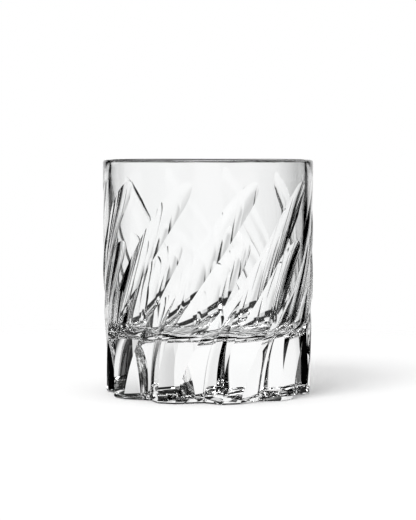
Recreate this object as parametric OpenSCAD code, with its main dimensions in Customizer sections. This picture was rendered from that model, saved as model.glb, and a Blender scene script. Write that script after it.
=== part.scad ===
// Straight-sided whisky tumbler in cut crystal.
// The origin is the centre of the foot, on the table, and +Z points up through the mouth.
// Three tiers of curved wheel cuts climb from the foot and lean over as they rise.
// A star of mitre cuts is ground into the underside.

/* [Tumbler] */
// Height from the table to the rim
glass_height = 91; // [80:0.5:110]
// Diameter of the uncut wall
glass_diameter = 82; // [76:0.5:96]
// Bevel ground round the foot
foot_bevel = 0.5; // [0.3:0.1:1]

/* [Bowl] */
// Height of the bowl's floor above the table, which is the thickness of the solid foot
bowl_floor = 22.5; // [16:0.5:26]
// Radius of the rounded corner between the bowl's floor and its wall
bowl_corner = 7; // [4:0.5:9]
// Thickness of the uncut wall where the rounded corner ends
wall_foot = 4.8; // [4:0.1:6]
// Thickness of the wall at the rim
wall_rim = 2.8; // [2.2:0.1:4]
// Rounding of the polished lip
lip_round = 1.1; // [0.6:0.1:1.1]

/* [Pattern] */
// How many times the three cuts repeat round the glass
repeats = 10; // [8:1:12]
// Lean of the cuts near the foot, away from upright
foot_lean = 9; // [0:1:20]
// Lean of the cuts on the wall, away from upright
wall_lean = 33.4; // [20:0.2:40]
// Height at which the cuts start to bend over
bend_foot = 8; // [2:0.5:14]
// Height at which the cuts have their full lean
bend_top = 38; // [30:0.5:46]
// Plain height between the tips of the tall cuts and the rim
plain_band = 8; // [6:0.5:14]
// Part of that plain height that belongs to the cut wall and not to the lip
lip_gap = 1.5; // [0.5:0.5:3]

/* [Tall cut] */
// Depth of the tall cut
tall_depth = 1.2; // [0.5:0.1:1.5]
// Width of the tall cut on the side it leans away from
tall_left = 5.3; // [3:0.1:7]
// Width of the tall cut on the side it leans over
tall_right = 4.4; // [3:0.1:6]
// Rise over which the wheel runs out at the tall tip
tall_runout = 11; // [6:0.5:16]

/* [Middle cut] */
// Drop from the tip of the tall cut to the tip of the middle cut
middle_drop = 22.5; // [14:0.5:28]
// Depth of the middle cut
middle_depth = 1.3; // [0.5:0.1:1.5]
// How far the middle cut drifts sideways on its way to the foot, towards the short cut's left wall
middle_drift = 4.6; // [2:0.1:6]
// Width of the middle cut on the side it leans away from
middle_left = 6.6; // [4:0.1:8]
// Width of the middle cut on the side it leans over
middle_right = 5; // [3:0.1:6]
// Rise over which the wheel runs out at the middle tip
middle_runout = 10; // [6:0.5:16]

/* [Short cut] */
// Drop from the tip of the tall cut to the tip of the short cut
short_drop = 37; // [32:0.5:44]
// Depth of the short cut at the foot
short_depth = 5.7; // [4:0.1:6.5]
// Slope of the short cut's wall on the side it leans away from
short_left_slope = 17.7; // [14:0.1:26]
// Slope of the short cut's wall on the side it leans over
short_right_slope = 30.5; // [24:0.5:40]
// Rounding of the short cut's valley
valley_round = 0.3; // [0.1:0.1:0.8]

/* [Star] */
// How many rays the star in the underside has
star_rays = 20; // [12:1:24]
// Radius of the plain centre of the star
star_centre = 2.5; // [2:0.5:5]
// Flat foot left between the star's points and the valleys of the short cuts
star_margin = 3.8; // [2.5:0.1:6]
// Slope of a ray's walls
star_slope = 20; // [12:1:28]

/* [Hidden] */
crystal = [0.86, 0.91, 0.93, 0.45];

outer_r = glass_diameter / 2;
corner_r = outer_r - wall_foot;
mouth_r = outer_r - wall_rim;
base_top = bowl_floor + bowl_corner;
tall_tip = glass_height - plain_band;
middle_tip = tall_tip - middle_drop;
short_tip = tall_tip - short_drop;
star_r = outer_r - short_depth - foot_bevel - star_margin;
wall_top = tall_tip + lip_gap;
overrun = 1;
smoothness = 180;

// Where each cut lies round the foot, as a share of one repeat
tall_place_share = 0.025;
middle_place_share = 0.464;
short_place_share = 0.917;
// How fast the short cut shallows as it climbs
shallow_power = 1.3;
// How much wider the hollows get by the foot, as a share of their width
tall_spread_share = 0.4;
middle_spread_share = 2;
// Where a ray is widest between its ends, and how much of the room beside it it takes there
ray_bulge_share = 0.66;
ray_width_share = 0.8;

pitch = 360 / repeats;
columns_per_repeat = 20;
columns = repeats * columns_per_repeat;
base_rows = 14;
wall_rows = 29;

// Angle that an arc of the outer wall spans
function arc_angle(arc) = arc / outer_r * 180 / PI;

// Area under a smooth step that rises from 0 to 1 as t goes from 0 to 1
function step_area(t) = t <= 0 ? 0 : t >= 1 ? t - 1 / 2 : pow(t, 3) - pow(t, 4) / 2;

// Angle by which the cuts have turned round the glass at a height
function turned(height) =
    let (bend = bend_top - bend_foot)
    arc_angle(tan(foot_lean) * height
        + (tan(wall_lean) - tan(foot_lean)) * bend * step_area((height - bend_foot) / bend));

// Signed angle from the line of a cut, kept within half a repeat
function angle_from(angle, place_share) =
    let (turn = angle / pitch - place_share)
    (turn - round(turn)) * pitch;

// Signed arc of the outer wall from the line of a cut
function arc_from(angle, place_share) = angle_from(angle, place_share) * PI / 180 * outer_r;

// How near a cut has come to the foot, from 0 at its tip to 1
function lowness(height, tip) = pow(max(0, 1 - height / tip), 2);

// How far a round wheel has come in below the tip, from 0 to 1
function run_in(height, tip, runout) =
    let (t = max(0, min(1, (tip - height) / runout)))
    t * (2 - t);

// Depth of a hollow that a rounded wheel leaves
function hollow_depth(arc, middle, depth, left, right) =
    middle - depth * pow(arc / (arc < 0 ? left : right), 2);

function tall_cut(angle, height) =
    let (spread = 1 + tall_spread_share * lowness(height, tall_tip))
    hollow_depth(arc_from(angle, tall_place_share), tall_depth * run_in(height, tall_tip, tall_runout),
        tall_depth, tall_left * spread, tall_right * spread);

function middle_cut(angle, height) =
    let (low = lowness(height, middle_tip))
    let (spread = 1 + middle_spread_share * low)
    hollow_depth(arc_from(angle - arc_angle(middle_drift) * low, middle_place_share),
        middle_depth * run_in(height, middle_tip, middle_runout),
        middle_depth, middle_left * spread, middle_right * spread);

// The short cut has two flat walls that meet in a narrow rounded valley
function short_cut(angle, height) =
    let (turn = angle_from(angle, short_place_share))
    let (slope = tan(turn < 0 ? short_left_slope : short_right_slope))
    let (deepest = short_depth * (1 - pow(min(1, height / short_tip), shallow_power)))
    let (valley_r = outer_r - deepest)
    let (rise = valley_r / (cos(turn) - slope * sin(abs(turn))) - valley_r)
    deepest + valley_round - sqrt(pow(valley_round, 2) + pow(rise, 2));

// Radius of the cut wall, with the bevel round the foot
function cut_radius(angle, height) =
    outer_r - max(0, tall_cut(angle, height), middle_cut(angle, height), short_cut(angle, height))
        - max(0, foot_bevel - height);

// Heights of the rows of the cut surface between two levels
function row_heights(bottom, top, rows) = [for (i = [0:rows]) bottom + (top - bottom) * i / rows];

// Solid bounded by the cut surface, with flat ends. The columns follow the line of the cuts.
module cut_solid(heights) {
    rows = len(heights);
    points = [
        for (height = heights)
            for (i = [0:columns - 1])
                let (angle = (i / columns_per_repeat + short_place_share) * pitch)
                let (radius = cut_radius(angle, height), around = angle + turned(height))
                [radius * sin(around), -radius * cos(around), height]
    ];
    sides = [
        for (row = [0:rows - 2])
            for (i = [0:columns - 1])
                let (next = (i + 1) % columns, low = row * columns, high = low + columns)
                each [[low + i, high + next, low + next], [low + i, high + i, high + next]]
    ];
    foot_face = [for (i = [0:columns - 1]) i];
    top_face = [for (i = [columns - 1:-1:0]) (rows - 1) * columns + i];
    polyhedron(points, concat(sides, [foot_face, top_face]), convexity = 10);
}

// Half outline of the bowl above the rounded corner, widening to the mouth
module bowl_outline() {
    polygon([
        [0, base_top], [corner_r, base_top], [mouth_r, glass_height],
        [mouth_r, glass_height + overrun], [0, glass_height + overrun]
    ]);
}

// Half outline of the dished floor below it
module floor_outline() {
    square_r = corner_r - bowl_corner;
    translate([0, bowl_floor]) square([square_r, bowl_corner + overrun]);
    intersection() {
        translate([square_r, base_top]) circle(r = bowl_corner, $fn = smoothness);
        translate([0, bowl_floor]) square([corner_r, bowl_corner]);
    }
    translate([0, base_top]) square([corner_r, overrun]);
}

// Cutter for one ray of the star: a long leaf with four flat walls, deepest where it is widest
module star_ray() {
    wide_r = star_centre + (star_r - star_centre) * ray_bulge_share;
    wide = ray_width_share * wide_r * PI / star_rays;
    leaf = [[star_centre, 0], [wide_r, -wide], [star_r, 0], [wide_r, wide]];
    points = [
        for (p = leaf) [p[0], p[1], -overrun],
        for (p = leaf) [p[0], p[1], 0],
        [wide_r, 0, wide * tan(star_slope)]
    ];
    count = len(leaf);
    tip = 2 * count;
    sides = [
        for (i = [0:count - 1])
            let (next = (i + 1) % count)
            each [[count + i, count + next, next, i], [tip, count + next, count + i]]
    ];
    polyhedron(points, concat(sides, [[for (i = [0:count - 1]) i]]), convexity = 2);
}

// Solid foot with the bowl's dished floor in its top and the star in its underside
module sham_base() {
    color(crystal) difference() {
        cut_solid(concat([0], row_heights(foot_bevel, base_top, base_rows)));
        rotate_extrude($fn = smoothness) floor_outline();
        for (ray = [0:star_rays - 1]) rotate([0, 0, ray * 360 / star_rays]) star_ray();
    }
}

// Ring of wall that carries the cuts up to their tips
module cut_wall() {
    color(crystal) difference() {
        cut_solid(row_heights(base_top, wall_top, wall_rows));
        rotate_extrude($fn = smoothness) {
            translate([0, base_top - overrun]) square([corner_r, overrun]);
            bowl_outline();
        }
    }
}

// Plain drinking band with a rounded lip
module lip_band() {
    inner_r = corner_r + (mouth_r - corner_r) * (wall_top - base_top) / (glass_height - base_top);
    round_z = glass_height - lip_round;
    color(crystal) rotate_extrude($fn = smoothness) {
        polygon([
            [inner_r, wall_top], [outer_r, wall_top], [outer_r, round_z],
            [outer_r - lip_round, glass_height], [mouth_r + lip_round, glass_height], [mouth_r, round_z]
        ]);
        translate([outer_r - lip_round, round_z]) circle(r = lip_round, $fn = smoothness);
        translate([mouth_r + lip_round, round_z]) circle(r = lip_round, $fn = smoothness);
    }
}

sham_base();
cut_wall();
lip_band();
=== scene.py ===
import math
import bpy
import numpy as np
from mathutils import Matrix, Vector


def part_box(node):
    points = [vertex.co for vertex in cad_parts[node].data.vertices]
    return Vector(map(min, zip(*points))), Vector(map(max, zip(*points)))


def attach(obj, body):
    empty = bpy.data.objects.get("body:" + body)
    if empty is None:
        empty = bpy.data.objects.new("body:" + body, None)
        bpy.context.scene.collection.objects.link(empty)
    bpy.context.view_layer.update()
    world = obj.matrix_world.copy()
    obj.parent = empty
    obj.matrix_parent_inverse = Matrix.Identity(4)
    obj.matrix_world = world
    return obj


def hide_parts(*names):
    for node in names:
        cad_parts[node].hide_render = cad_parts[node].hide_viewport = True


# Cut crystal tumbler: one piece of glass is modelled over the three solids of the frame.
# Turns round the glass start at the camera and grow to the right. Cuts are placed in shares of one repeat.

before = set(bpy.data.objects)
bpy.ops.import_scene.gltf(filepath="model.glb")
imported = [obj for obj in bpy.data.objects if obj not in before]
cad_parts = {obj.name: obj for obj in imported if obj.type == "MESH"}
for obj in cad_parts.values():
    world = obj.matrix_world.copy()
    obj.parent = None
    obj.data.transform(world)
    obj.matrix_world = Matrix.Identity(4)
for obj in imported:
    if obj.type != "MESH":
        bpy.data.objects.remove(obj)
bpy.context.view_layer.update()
print("frame loaded:", ", ".join(sorted(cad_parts)))

mm = 0.001
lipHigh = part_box("lip_band")[1]

# Lengths are in millimetres and angles in degrees down to the star
tumbler = {
    "radius": lipHigh.x / mm,
    "height": lipHigh.z / mm,
    "wallTop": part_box("cut_wall")[1].z / mm,  # the plain band starts here
    "bowlCornerTop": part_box("sham_base")[1].z / mm,
    "bowlFloor": 22.5,
    "wallAtCorner": 4.8,
    "wallAtRim": 2.8,
    "lipRound": 1.1,
    "footBevel": 0.5,
    "lipSteps": 7,
    "cornerSteps": 14,
    "wallSteps": 6,
    "aroundSteps": 300,
}
pattern = {
    "repeats": 10,
    "footLean": 9.0,
    "wallLean": 33.4,
    "bendFoot": 8.0,
    "bendTop": 38.0,
    "rowStep": 0.72,  # height of one row of the cut surface
    "tipRows": (0, 0.05, 0.2, 0.45, 0.8),  # closer rows just under each tip
    "leastRowGap": 0.3,  # an even row stays this far from the closer ones
    "leastColumnGap": 1e-4,  # columns nearer than this share of a repeat become one
    "leastCut": 1e-4,  # a shallower cut counts as plain wall
    "ridgeSteps": 1200,  # places in a repeat where ridges are looked for
    "ridgeHalvings": 30,
    "valleyCrowding": 1.8,  # how much the columns crowd towards a valley, where 1 is evenly
}
tallCut = {
    "place": 0.025,
    "tip": 83.0,
    "depth": 1.0,
    "left": 5.3,  # width on each side of the line of the cut
    "right": 5.2,
    "runout": 11.0,
    "spread": 0.4,  # how much wider it gets by the foot
    "drift": 0.0,  # how far it moves to the right by the foot
}
middleCut = {
    "place": 0.464,
    "tip": 60.5,
    "depth": 1.3,
    "left": 6.6,
    "right": 5.0,
    "runout": 10.0,
    "spread": 2.0,
    "drift": 4.6,
}
shortCut = {
    "place": 0.917,
    "tip": 46.0,
    "depth": 5.7,
    "leftSlope": 17.7,
    "rightSlope": 30.5,
    "valleyRound": 0.3,
    "shallowPower": 1.3,  # how fast it shallows as it climbs
}
# Columns in each stretch of a repeat, starting from the line of the middle cut
stretches = {
    "middleRight": 9,
    "plainLeft": 8,
    "tallLeft": 9,
    "shortLeft": 14,
    "shortRight": 11,
    "tallRight": 9,
    "plainRight": 8,
    "middleLeft": 9,
}


def stepArea(t):  # area under a smooth step from 0 to 1
    if t <= 0:
        return 0.0
    return t - 0.5 if t >= 1 else t**3 - t**4 / 2


def turnedAt(height):  # how far the cuts have turned round the glass at a height
    low = math.tan(math.radians(pattern["footLean"]))
    high = math.tan(math.radians(pattern["wallLean"]))
    bend = pattern["bendTop"] - pattern["bendFoot"]
    arc = low * height + (high - low) * bend * stepArea((height - pattern["bendFoot"]) / bend)
    return math.degrees(arc / tumbler["radius"])


def turnFrom(place, cut):  # signed angle from the line of a cut, in radians
    off = place - cut["place"]
    return (off - np.round(off)) * 2 * math.pi / pattern["repeats"]


def hollowDepth(place, height, cut):  # round wheel: a hollow that runs out at its tip
    low = max(0, 1 - height / cut["tip"]) ** 2
    repeatArc = 2 * math.pi * tumbler["radius"] / pattern["repeats"]
    arc = turnFrom(place - cut["drift"] * low / repeatArc, cut) * tumbler["radius"]
    under = min(max((cut["tip"] - height) / cut["runout"], 0), 1)
    width = np.where(arc < 0, cut["left"], cut["right"]) * (1 + cut["spread"] * low)
    return cut["depth"] * (under * (2 - under) - (arc / width) ** 2)


def mitreDepth(place, height, cut):  # mitre wheel: two flat walls that meet in a narrow rounded valley
    turn = turnFrom(place, cut)
    slope = np.tan(np.radians(np.where(turn < 0, cut["leftSlope"], cut["rightSlope"])))
    deepest = cut["depth"] * (1 - min(1, height / cut["tip"]) ** cut["shallowPower"])
    valley = tumbler["radius"] - deepest
    rise = valley / (np.cos(turn) - slope * np.sin(np.abs(turn))) - valley
    return deepest + cut["valleyRound"] - np.sqrt(cut["valleyRound"] ** 2 + rise**2)


plain, tall, middle, short = range(4)  # the order of the rows in cutDepths


def cutDepths(place, height):
    return np.array([
        np.zeros_like(place) + pattern["leastCut"],
        hollowDepth(place, height, tallCut),
        hollowDepth(place, height, middleCut),
        mitreDepth(place, height, shortCut),
    ])


def ridgesAt(height):  # every place in a repeat where one cut takes over from another
    samples = middleCut["place"] + np.linspace(0, 1, pattern["ridgeSteps"] + 1)
    deepest = cutDepths(samples, height).argmax(0)
    ridges = []
    for k in np.flatnonzero(np.diff(deepest)):
        before, after = deepest[k], deepest[k + 1]
        low, high = samples[k], samples[k + 1]
        for _ in range(pattern["ridgeHalvings"]):
            half = (low + high) / 2
            depths = cutDepths(half, height)
            low, high = (half, high) if depths[before] >= depths[after] else (low, half)
        ridges.append((low, before, after))
    return ridges


def firstPlace(ridges, before, after, otherwise):  # first ridge between two cuts, and whether there is one
    for place, left, right in ridges:
        if left in before and right in after:
            return place, True
    return otherwise, False


def stretchEnds(height):  # where each stretch of a repeat ends, and whether a ridge is there
    every = (plain, tall, middle, short)
    ridges = ridgesAt(height)
    backwards = ridges[::-1]
    start, finish = middleCut["place"], middleCut["place"] + 1
    tallLine, shortLine = tallCut["place"] + 1, shortCut["place"]
    leaveMiddle = firstPlace(ridges, (middle,), every, start)
    reachTall = firstPlace(ridges, every, (tall, short), tallLine)
    leaveTall = firstPlace(backwards, (tall, short), every, tallLine)
    reachMiddle = firstPlace(backwards, every, (middle,), finish)
    hidden = min(max(shortLine, reachTall[0]), leaveTall[0])
    reachShort = firstPlace(ridges, every, (short,), hidden)
    leaveShort = firstPlace(ridges, (short,), every, hidden)
    valley = (min(max(shortLine, reachShort[0]), leaveShort[0]), False)
    return [(start, False), leaveMiddle, reachTall, reachShort, valley, leaveShort, leaveTall, reachMiddle,
            (finish, False)]


def repeatColumns(height):  # places of all columns in one repeat, and which of them lie on ridges
    ends = stretchEnds(height)
    crowding = pattern["valleyCrowding"]
    places, ridged = [], []
    for (name, count), (low, onRidge), (high, _) in zip(stretches.items(), ends, ends[1:]):
        t = np.arange(count) / count
        if name == "shortLeft":
            t = 1 - (1 - t) ** crowding
        elif name == "shortRight":
            t = t**crowding
        places.extend(low + (high - low) * t)
        ridged.extend([onRidge] + [False] * (count - 1))
    return np.array(places), np.array(ridged)


def rowHeights():  # from the foot to the tip of the tall cut
    tips = (tallCut["tip"], middleCut["tip"], shortCut["tip"])
    close = {tip - drop for tip in tips for drop in pattern["tipRows"]}
    bevel = tumbler["footBevel"]
    count = round((tallCut["tip"] - bevel) / pattern["rowStep"])
    even = [bevel + (tallCut["tip"] - bevel) * k / count for k in range(count + 1)]
    even = [h for h in even if min(abs(h - c) for c in close) > pattern["leastRowGap"]]
    return sorted({0, bevel} | close | set(even))


class GlassMesh:  # gathers points and faces ring by ring
    def __init__(self):
        self.points = []
        self.faces = []
        self.sharp = set()

    def addPoint(self, turn, radius, height):
        self.points.append((radius * math.sin(turn) * mm, -radius * math.cos(turn) * mm, height * mm))
        return len(self.points) - 1

    def addFace(self, ids):
        kept = [a for a, b in zip(ids, ids[1:] + ids[:1]) if a != b]
        if len(kept) > 2:
            self.faces.append(kept)

    def joinRings(self, low, high):  # same number of columns in both
        for k in range(len(low)):
            after = (k + 1) % len(low)
            self.addFace([low[k], low[after], high[after], high[k]])

    def zipRings(self, low, lowTurns, high, highTurns):  # different columns, both in rising order
        full = 2 * math.pi
        low, high = list(dict.fromkeys(low)), list(dict.fromkeys(high))
        near = int(np.argmin(np.abs((highTurns - lowTurns[0] + math.pi) % full - math.pi)))
        high = high[near:] + high[:near]
        highTurns = np.unwrap(np.roll(highTurns, -near))
        highTurns = highTurns + full * round((lowTurns[0] - highTurns[0]) / full)
        lowTurns = np.append(lowTurns, lowTurns[0] + full)
        highTurns = np.append(highTurns, highTurns[0] + full)
        j = 0
        for k in range(len(low)):
            middleTurn = (lowTurns[k] + lowTurns[k + 1]) / 2
            while j < len(high) and highTurns[j + 1] < middleTurn:
                self.addFace([low[k], high[(j + 1) % len(high)], high[j]])
                j += 1
            self.addFace([low[k], low[(k + 1) % len(low)], high[j % len(high)]])
        while j < len(high):
            self.addFace([low[0], high[(j + 1) % len(high)], high[j]])
            j += 1

    def markSharp(self, first, second):
        if first != second:
            self.sharp.add((min(first, second), max(first, second)))


def wallRing(glass, height):  # one row of the cut surface, with columns on its ridges
    places, ridged = repeatColumns(height)
    radii = tumbler["radius"] - cutDepths(places, height).max(0) - max(0, tumbler["footBevel"] - height)
    turned = turnedAt(height)
    repeats, leastGap = pattern["repeats"], pattern["leastColumnGap"]
    ring, turns = [], []
    lastPlace = -math.inf
    for lap in range(repeats):
        for k, place in enumerate(places):
            if place + lap - lastPlace < leastGap:
                ring.append(ring[-1])
                continue
            lastPlace = place + lap
            turn = math.radians(lastPlace * 360 / repeats + turned)
            ring.append(glass.addPoint(turn, radii[k], height))
            turns.append(turn)
    if places[0] + repeats - lastPlace < leastGap:  # the last columns meet the first one
        last = ring[-1]
        ring = [ring[0] if point == last else point for point in ring]
        turns.pop()
    return ring, np.array(turns), np.tile(ridged, repeats)


def cutSurface(glass):  # rows from the foot up, sharp along the ridges and the bevel; gives the end rows
    rows = []
    for height in rowHeights():
        ring, turns, ridged = wallRing(glass, height)
        if rows:
            lowRing, _, lowRidged = rows[-1]
            glass.joinRings(lowRing, ring)
            for k, point in enumerate(ring):
                if ridged[k] or lowRidged[k]:
                    glass.markSharp(lowRing[k], point)
        if height <= tumbler["footBevel"]:
            for k, point in enumerate(ring):
                glass.markSharp(ring[k - 1], point)
        rows.append((ring, turns, ridged))
    return rows[0], rows[-1]


starCut = {
    "rays": 20,
    "centre": 2.5,  # radius of the plain centre
    "reach": 31.0,
    "slope": 20.0,
    "bulge": 0.66,  # where a ray is widest, as a share of its length
    "width": 0.8,  # how much of the room beside it a ray takes there
}


def starFoot(glass, footRing, footTurns):  # underside: each ray has four flat walls
    rays, centre, reach = starCut["rays"], starCut["centre"], starCut["reach"]
    widest = centre + (reach - centre) * starCut["bulge"]
    half = starCut["width"] * widest * math.pi / rays
    side, sideTurn = math.hypot(widest, half), math.atan2(half, widest)
    valley = half * math.tan(math.radians(starCut["slope"]))
    stars = []
    for ray in range(rays):
        turn = 2 * math.pi * ray / rays
        inner, outer = glass.addPoint(turn, centre, 0), glass.addPoint(turn, reach, 0)
        left, right = glass.addPoint(turn - sideTurn, side, 0), glass.addPoint(turn + sideTurn, side, 0)
        deep = glass.addPoint(turn, widest, valley)
        stars.append((inner, left, deep, right, outer))
    for k, (inner, left, deep, right, outer) in enumerate(stars):
        nextInner, nextLeft, _, _, nextOuter = stars[(k + 1) % rays]
        for wall in ([inner, deep, left], [left, deep, outer], [inner, right, deep], [right, outer, deep]):
            glass.addFace(wall)
        glass.addFace([inner, nextInner, nextLeft, right])
        glass.addFace([right, nextLeft, nextOuter, outer])
        for corner in (left, right):
            for end in (inner, outer, deep):
                glass.markSharp(corner, end)
        glass.markSharp(inner, deep)
        glass.markSharp(deep, outer)
    glass.addFace([inner for inner, *_ in stars][::-1])
    tips = [outer for *_, outer in stars]
    glass.zipRings(tips, 2 * math.pi * np.arange(rays) / rays, footRing, footTurns)


def arcPoints(centre, radius, start, end, steps):
    turns = [math.radians(start + (end - start) * k / steps) for k in range(steps + 1)]
    return [(centre[0] + radius * math.cos(t), centre[1] + radius * math.sin(t)) for t in turns]


def bowlProfile():  # from the plain band over the lip and down to the bowl's floor
    lip, lipTop = tumbler["lipRound"], tumbler["height"] - tumbler["lipRound"]
    mouth = tumbler["radius"] - tumbler["wallAtRim"]
    corner = tumbler["radius"] - tumbler["wallAtCorner"]
    cornerRound = tumbler["bowlCornerTop"] - tumbler["bowlFloor"]
    points = [(tumbler["radius"], tumbler["wallTop"])]
    points += arcPoints((tumbler["radius"] - lip, lipTop), lip, 0, 90, tumbler["lipSteps"])
    points += arcPoints((mouth + lip, lipTop), lip, 90, 180, tumbler["lipSteps"])
    rise = tumbler["height"] - tumbler["bowlCornerTop"]
    for height in np.linspace(tumbler["wallTop"], tumbler["bowlCornerTop"], tumbler["wallSteps"])[:-1]:
        points.append((corner + (mouth - corner) * (height - tumbler["bowlCornerTop"]) / rise, height))
    centre = (corner - cornerRound, tumbler["bowlCornerTop"])
    points += arcPoints(centre, cornerRound, 0, -90, tumbler["cornerSteps"])
    return points


def makeTumbler():
    glass = GlassMesh()
    (footRing, footTurns, _), (topRing, topTurns, _) = cutSurface(glass)
    starFoot(glass, footRing, footTurns)
    count = tumbler["aroundSteps"]
    turns = np.arange(count) * 2 * math.pi / count
    rings = [[glass.addPoint(turn, radius, height) for turn in turns] for radius, height in bowlProfile()]
    glass.zipRings(topRing, topTurns, rings[0], turns)
    for low, high in zip(rings, rings[1:]):
        glass.joinRings(low, high)
    glass.addFace(rings[-1])

    mesh = bpy.data.meshes.new("tumbler")
    mesh.from_pydata(glass.points, [], glass.faces)
    mesh.shade_smooth()
    pairs = np.zeros(len(mesh.edges) * 2, np.int32)
    mesh.edges.foreach_get("vertices", pairs)
    sharp = [(min(a, b), max(a, b)) in glass.sharp for a, b in pairs.reshape(-1, 2).tolist()]
    mesh.edges.foreach_set("use_edge_sharp", sharp)
    piece = bpy.data.objects.new("tumbler", mesh)
    bpy.context.scene.collection.objects.link(piece)
    return piece


def nodeTree(owner):  # empty node tree of a material or a world
    owner.use_nodes = True
    owner.node_tree.nodes.clear()
    return owner.node_tree


crystal = {
    "ior": 1.545,
    "mirror": 0.2,  # strength of the mirror shine
    "clear": (1.0, 1.0, 1.0),
    "tinted": (0.985, 0.992, 0.992),  # the faint cast of thick glass
    "polish": (0.0, 0.012),  # roughness from the brightest to the dullest places
    "polishNoise": (0.45, 0.75),  # values of the noise between which the roughness grows
    "waveHeight": 0.004,  # mm
    # Patches to the metre, and detail in them
    "polishPatches": (260.0, 3),
    "castPatches": (30.0, 1),
    "wavePatches": (90.0, 2),  # slow waves left by the polish
}


def noiseNode(tree, place, patches):
    node = tree.nodes.new("ShaderNodeTexNoise")
    tree.links.new(place, node.inputs["Vector"])
    node.inputs["Scale"].default_value, node.inputs["Detail"].default_value = patches
    return node.outputs["Fac"]


def crystalMaterial():
    material = bpy.data.materials.new("polishedCrystal")
    tree = nodeTree(material)
    nodes, links = tree.nodes, tree.links
    output = nodes.new("ShaderNodeOutputMaterial")
    glass = nodes.new("ShaderNodeBsdfPrincipled")
    glass.inputs["Transmission Weight"].default_value = 1
    glass.inputs["IOR"].default_value = crystal["ior"]
    glass.inputs["Specular Tint"].default_value = (crystal["mirror"],) * 3 + (1,)
    place = nodes.new("ShaderNodeTexCoord").outputs["Object"]

    dull = nodes.new("ShaderNodeMapRange")
    links.new(noiseNode(tree, place, crystal["polishPatches"]), dull.inputs["Value"])
    dull.inputs["From Min"].default_value, dull.inputs["From Max"].default_value = crystal["polishNoise"]
    dull.inputs["To Min"].default_value, dull.inputs["To Max"].default_value = crystal["polish"]
    links.new(dull.outputs["Result"], glass.inputs["Roughness"])

    cast = nodes.new("ShaderNodeMix")
    cast.data_type = "RGBA"
    links.new(noiseNode(tree, place, crystal["castPatches"]), cast.inputs["Factor"])
    cast.inputs["A"].default_value = crystal["clear"] + (1,)
    cast.inputs["B"].default_value = crystal["tinted"] + (1,)
    links.new(cast.outputs["Result"], glass.inputs["Base Color"])

    wave = nodes.new("ShaderNodeBump")
    links.new(noiseNode(tree, place, crystal["wavePatches"]), wave.inputs["Height"])
    wave.inputs["Distance"].default_value = crystal["waveHeight"] * mm
    links.new(wave.outputs["Normal"], glass.inputs["Normal"])
    links.new(glass.outputs["BSDF"], output.inputs["Surface"])
    return material


tumblerPiece = makeTumbler()
tumblerPiece.data.materials.append(crystalMaterial())
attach(tumblerPiece, "root")
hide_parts("sham_base", "cut_wall", "lip_band")
print("tumbler modelled:", len(tumblerPiece.data.polygons), "faces")


def mathNode(tree, operation, first, second=None):
    node = tree.nodes.new("ShaderNodeMath")
    node.operation = operation
    for socket, value in zip(node.inputs, (first, second)):
        if isinstance(value, (int, float)):
            socket.default_value = value
        elif value is not None:
            tree.links.new(value, socket)
    return node.outputs[0]


def toneRamp(tree, value, tones):  # tones at turns from -180 to 180 degrees
    share = mathNode(tree, "MULTIPLY", mathNode(tree, "ADD", value, 180.0), 1 / 360)
    node = tree.nodes.new("ShaderNodeValToRGB")
    tree.links.new(share, node.inputs["Fac"])
    stops = node.color_ramp.elements
    for turn, _ in tones[1:-1]:
        stops.new((turn + 180) / 360)
    for stop, (turn, tone) in zip(stops, tones):
        stop.position = (turn + 180) / 360
        stop.color = (tone, tone, tone, 1)
    return node.outputs["Color"]


def softStep(tree, value, start, end):  # 0 before start, 1 after end
    node = tree.nodes.new("ShaderNodeMapRange")
    node.interpolation_type = "SMOOTHSTEP"
    tree.links.new(value, node.inputs["Value"])
    node.inputs["From Min"].default_value = start
    node.inputs["From Max"].default_value = end
    return node.outputs["Result"]


def mixTone(tree, share, low, high):  # low where the share is 0, high where it is 1
    node = tree.nodes.new("ShaderNodeMix")
    tree.links.new(share, node.inputs["Factor"])
    for socket, value in ((node.inputs["A"], low), (node.inputs["B"], high)):
        if isinstance(value, (int, float)):
            socket.default_value = value
        else:
            tree.links.new(value, socket)
    return node.outputs["Result"]


# Lengths are in metres from here
floorCard = {
    "colour": 0.96,
    "radius": 0.3,
    "corners": 96,
    "fadeFrom": 0.16,  # it fades into the white backdrop from here
    "gap": 0.0002,  # air film between the foot and the table
}


def paperMaterial():  # the glass looks through it into the room
    material = bpy.data.materials.new("palePaper")
    tree = nodeTree(material)
    nodes, links = tree.nodes, tree.links
    output = nodes.new("ShaderNodeOutputMaterial")
    paper = nodes.new("ShaderNodeBsdfDiffuse")
    paper.inputs["Color"].default_value = (floorCard["colour"],) * 3 + (1,)
    clear = nodes.new("ShaderNodeBsdfTransparent")
    place = nodes.new("ShaderNodeTexCoord")
    distance = nodes.new("ShaderNodeVectorMath")
    distance.operation = "LENGTH"
    links.new(place.outputs["Object"], distance.inputs[0])
    path = nodes.new("ShaderNodeLightPath")
    bent = mathNode(tree, "MAXIMUM", path.outputs["Is Glossy Ray"], path.outputs["Is Transmission Ray"])
    faded = softStep(tree, distance.outputs["Value"], floorCard["fadeFrom"], floorCard["radius"])
    mix = nodes.new("ShaderNodeMixShader")
    links.new(mathNode(tree, "MAXIMUM", bent, faded), mix.inputs["Fac"])
    links.new(paper.outputs["BSDF"], mix.inputs[1])
    links.new(clear.outputs["BSDF"], mix.inputs[2])
    links.new(mix.outputs[0], output.inputs["Surface"])
    return material


def makeFloor():
    radius, corners = floorCard["radius"], floorCard["corners"]
    turns = np.arange(corners) * 2 * math.pi / corners
    rim = [(math.cos(turn) * radius, math.sin(turn) * radius, -floorCard["gap"]) for turn in turns]
    floorMesh = bpy.data.meshes.new("floorCard")
    floorMesh.from_pydata(rim, [], [list(range(corners))])
    floorMesh.materials.append(paperMaterial())
    floor = bpy.data.objects.new("floorCard", floorMesh)
    bpy.context.scene.collection.objects.link(floor)


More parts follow.
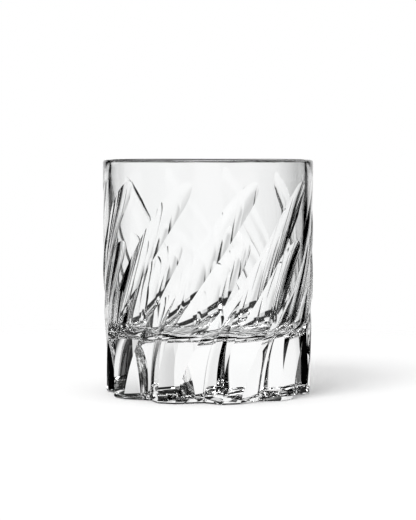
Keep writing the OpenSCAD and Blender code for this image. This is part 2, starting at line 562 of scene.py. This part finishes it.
# In the room, turn 0 is straight behind the glass, and turns and heights are in degrees
studio = {
    "ambient": 0.8,
    "edge": 2.0,  # half the width of the soft edges
    # Tones seen through the glass: a white window straight behind it, with dark room to the sides
    "windowTones": ((-180, 0), (-33, 0), (-29, 1), (0, 1), (12, 0.97), (30, 0.95), (35, 0), (180, 0)),
    "windowTop": 13.0,
    "tableTones": ((-180, 0), (-33, 0), (-29, 1), (-8, 0.97), (3, 0.94), (8, 0.8), (13, 0.64), (18, 0.7),
                   (25, 0.9), (30, 0.6), (33, 0), (180, 0)),
    "tableTop": -2.0,
    "darkStrip": (-38.0, -15.5),  # shaded part of the table under the glass
    "stripTone": 0.03,
    "ceilingTone": 0.02,
    "bounces": 24,  # light crosses many walls of the glass
    "mirrorBounces": 12,
}
panels = {  # round light panels in the dark room
    "overhead": {"turn": -45.0, "height": 48.0, "size": 28.0, "tone": 1.0},
    "behindLeft": {"turn": -45.0, "height": -31.0, "size": 17.0, "tone": 0.93},
    "left": {"turn": -90.0, "height": 1.0, "size": 13.0, "tone": 0.93},
    "frontRight": {"turn": 135.0, "height": -15.0, "size": 17.0, "tone": 0.93},
    "front": {"turn": 180.0, "height": -8.0, "size": 17.0, "tone": 0.93},
}


def panelShare(tree, direction, panel):  # 1 inside a round panel, with a soft edge
    turn, height = math.radians(panel["turn"]), math.radians(panel["height"])
    toPanel = tree.nodes.new("ShaderNodeVectorMath")
    toPanel.operation = "DOT_PRODUCT"
    tree.links.new(direction, toPanel.inputs[0])
    level = math.cos(height)
    toPanel.inputs[1].default_value = (level * math.sin(turn), level * math.cos(turn), math.sin(height))
    outside = math.cos(math.radians(panel["size"] + studio["edge"]))
    inside = math.cos(math.radians(panel["size"] - studio["edge"]))
    return softStep(tree, toPanel.outputs["Value"], outside, inside)


def roomTones(tree):  # what the glass bends into view: window, table, dark room and light panels
    direction = tree.nodes.new("ShaderNodeTexCoord").outputs["Generated"]
    parts = tree.nodes.new("ShaderNodeSeparateXYZ")
    tree.links.new(direction, parts.inputs[0])
    degree = 180 / math.pi
    around = mathNode(tree, "ARCTAN2", parts.outputs["X"], parts.outputs["Y"])
    around = mathNode(tree, "MULTIPLY", around, degree)
    above = mathNode(tree, "MULTIPLY", mathNode(tree, "ARCSINE", parts.outputs["Z"]), degree)

    def over(height):  # 1 above a height, with a soft edge
        return softStep(tree, above, height - studio["edge"], height + studio["edge"])

    window = toneRamp(tree, around, studio["windowTones"])
    wall = mixTone(tree, over(studio["windowTop"]), window, studio["ceilingTone"])
    table = toneRamp(tree, around, studio["tableTones"])
    stripLow, stripHigh = studio["darkStrip"]
    shaded = mixTone(tree, over(stripLow), table, studio["stripTone"])
    table = mixTone(tree, over(stripHigh), shaded, table)
    tones = mixTone(tree, over(studio["tableTop"]), table, wall)
    for panel in panels.values():
        tones = mixTone(tree, panelShare(tree, direction, panel), tones, panel["tone"])
    return tones


def makeWorld():  # even light on the floor, and the room only where the glass shows it
    world = bpy.data.worlds.new("studio")
    bpy.context.scene.world = world
    tree = nodeTree(world)
    nodes, links = tree.nodes, tree.links
    output = nodes.new("ShaderNodeOutputWorld")
    ambient = nodes.new("ShaderNodeBackground")
    ambient.inputs["Color"].default_value = (1, 1, 1, 1)
    ambient.inputs["Strength"].default_value = studio["ambient"]
    seen = nodes.new("ShaderNodeBackground")
    seen.inputs["Color"].default_value = (1, 1, 1, 1)
    path = nodes.new("ShaderNodeLightPath")
    backdrop = mixTone(tree, path.outputs["Is Camera Ray"], roomTones(tree), 1.0)
    links.new(backdrop, seen.inputs["Strength"])
    bent = mathNode(tree, "MAXIMUM", path.outputs["Is Glossy Ray"], path.outputs["Is Transmission Ray"])
    mix = nodes.new("ShaderNodeMixShader")
    links.new(mathNode(tree, "MAXIMUM", path.outputs["Is Camera Ray"], bent), mix.inputs["Fac"])
    links.new(ambient.outputs[0], mix.inputs[1])
    links.new(seen.outputs[0], mix.inputs[2])
    links.new(mix.outputs[0], output.inputs["Surface"])


key = {
    "power": 5.0,
    "size": 0.5,
    "from": (-0.5, -0.78, 1.2),
    "distance": 1.0,
}


def makeKey():
    lamp = bpy.data.lights.new("softKey", "AREA")
    lamp.shape = "DISK"
    lamp.size = key["size"]
    lamp.energy = key["power"]
    light = bpy.data.objects.new("softKey", lamp)
    toLamp = Vector(key["from"]).normalized()
    light.location = toLamp * key["distance"]
    light.rotation_euler = toLamp.to_track_quat("Z", "Y").to_euler()
    bpy.context.scene.collection.objects.link(light)


photoView = {
    "lens": 133.69,
    "distance": 0.755,
    "height": 0.098,
    "tilt": 3.512,  # degrees below level
}


def makeCamera():
    data = bpy.data.cameras.new("photoView")
    data.lens = photoView["lens"]
    camera = bpy.data.objects.new("photoView", data)
    camera.location = (0, -photoView["distance"], photoView["height"])
    camera.rotation_euler = (math.radians(90 - photoView["tilt"]), 0, 0)
    bpy.context.scene.collection.objects.link(camera)
    bpy.context.scene.camera = camera


makeFloor()
makeWorld()
print("floor and room set, with", len(panels), "light panels")
makeKey()
makeCamera()
scene = bpy.context.scene
scene.view_settings.view_transform = "Standard"
scene.cycles.max_bounces = studio["bounces"]
scene.cycles.transmission_bounces = studio["bounces"]
scene.cycles.glossy_bounces = studio["mirrorBounces"]
print("key light and camera set")
